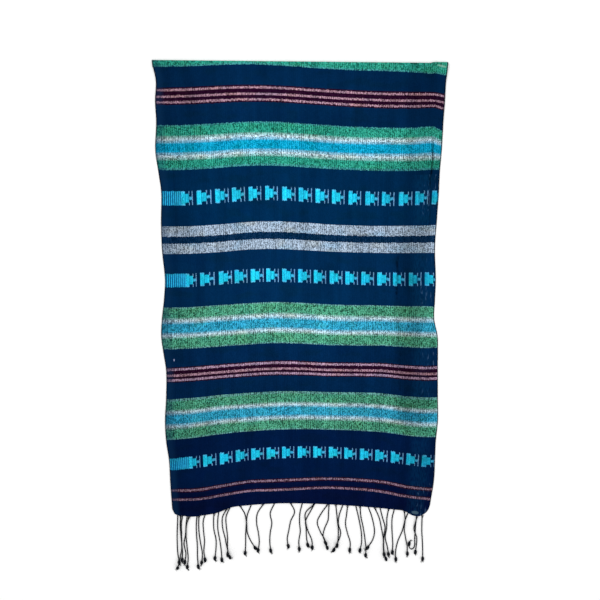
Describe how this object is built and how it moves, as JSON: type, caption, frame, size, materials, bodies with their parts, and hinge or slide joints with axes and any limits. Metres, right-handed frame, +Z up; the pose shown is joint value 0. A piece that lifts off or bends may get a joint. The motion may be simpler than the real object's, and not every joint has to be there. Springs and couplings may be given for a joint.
{
  "type": "folded cotton scarf",
  "caption": "Hand-woven striped cotton scarf, folded in half across its length and lying flat, with knotted fringe at both ends.",
  "frame": {"origin": "centre of the footprint, on the surface that the scarf lies on", "axes": "+Z up out of the cloth, +Y along the scarf's length towards the fold, +X along the fold"},
  "size_m": [0.5572, 1.0502, 0.0088],
  "materials": {
    "woven_cotton": "plain-woven cotton, matt, with coloured weft stripes",
    "fringe_cord": "twisted cotton warp ends, matt, knotted at the tips"
  },
  "bodies": {
    "root": {"front_half": "woven_cotton", "back_half": "woven_cotton", "fringe_front": "fringe_cord", "fringe_back": "fringe_cord"}
  },
  "joints": []
}
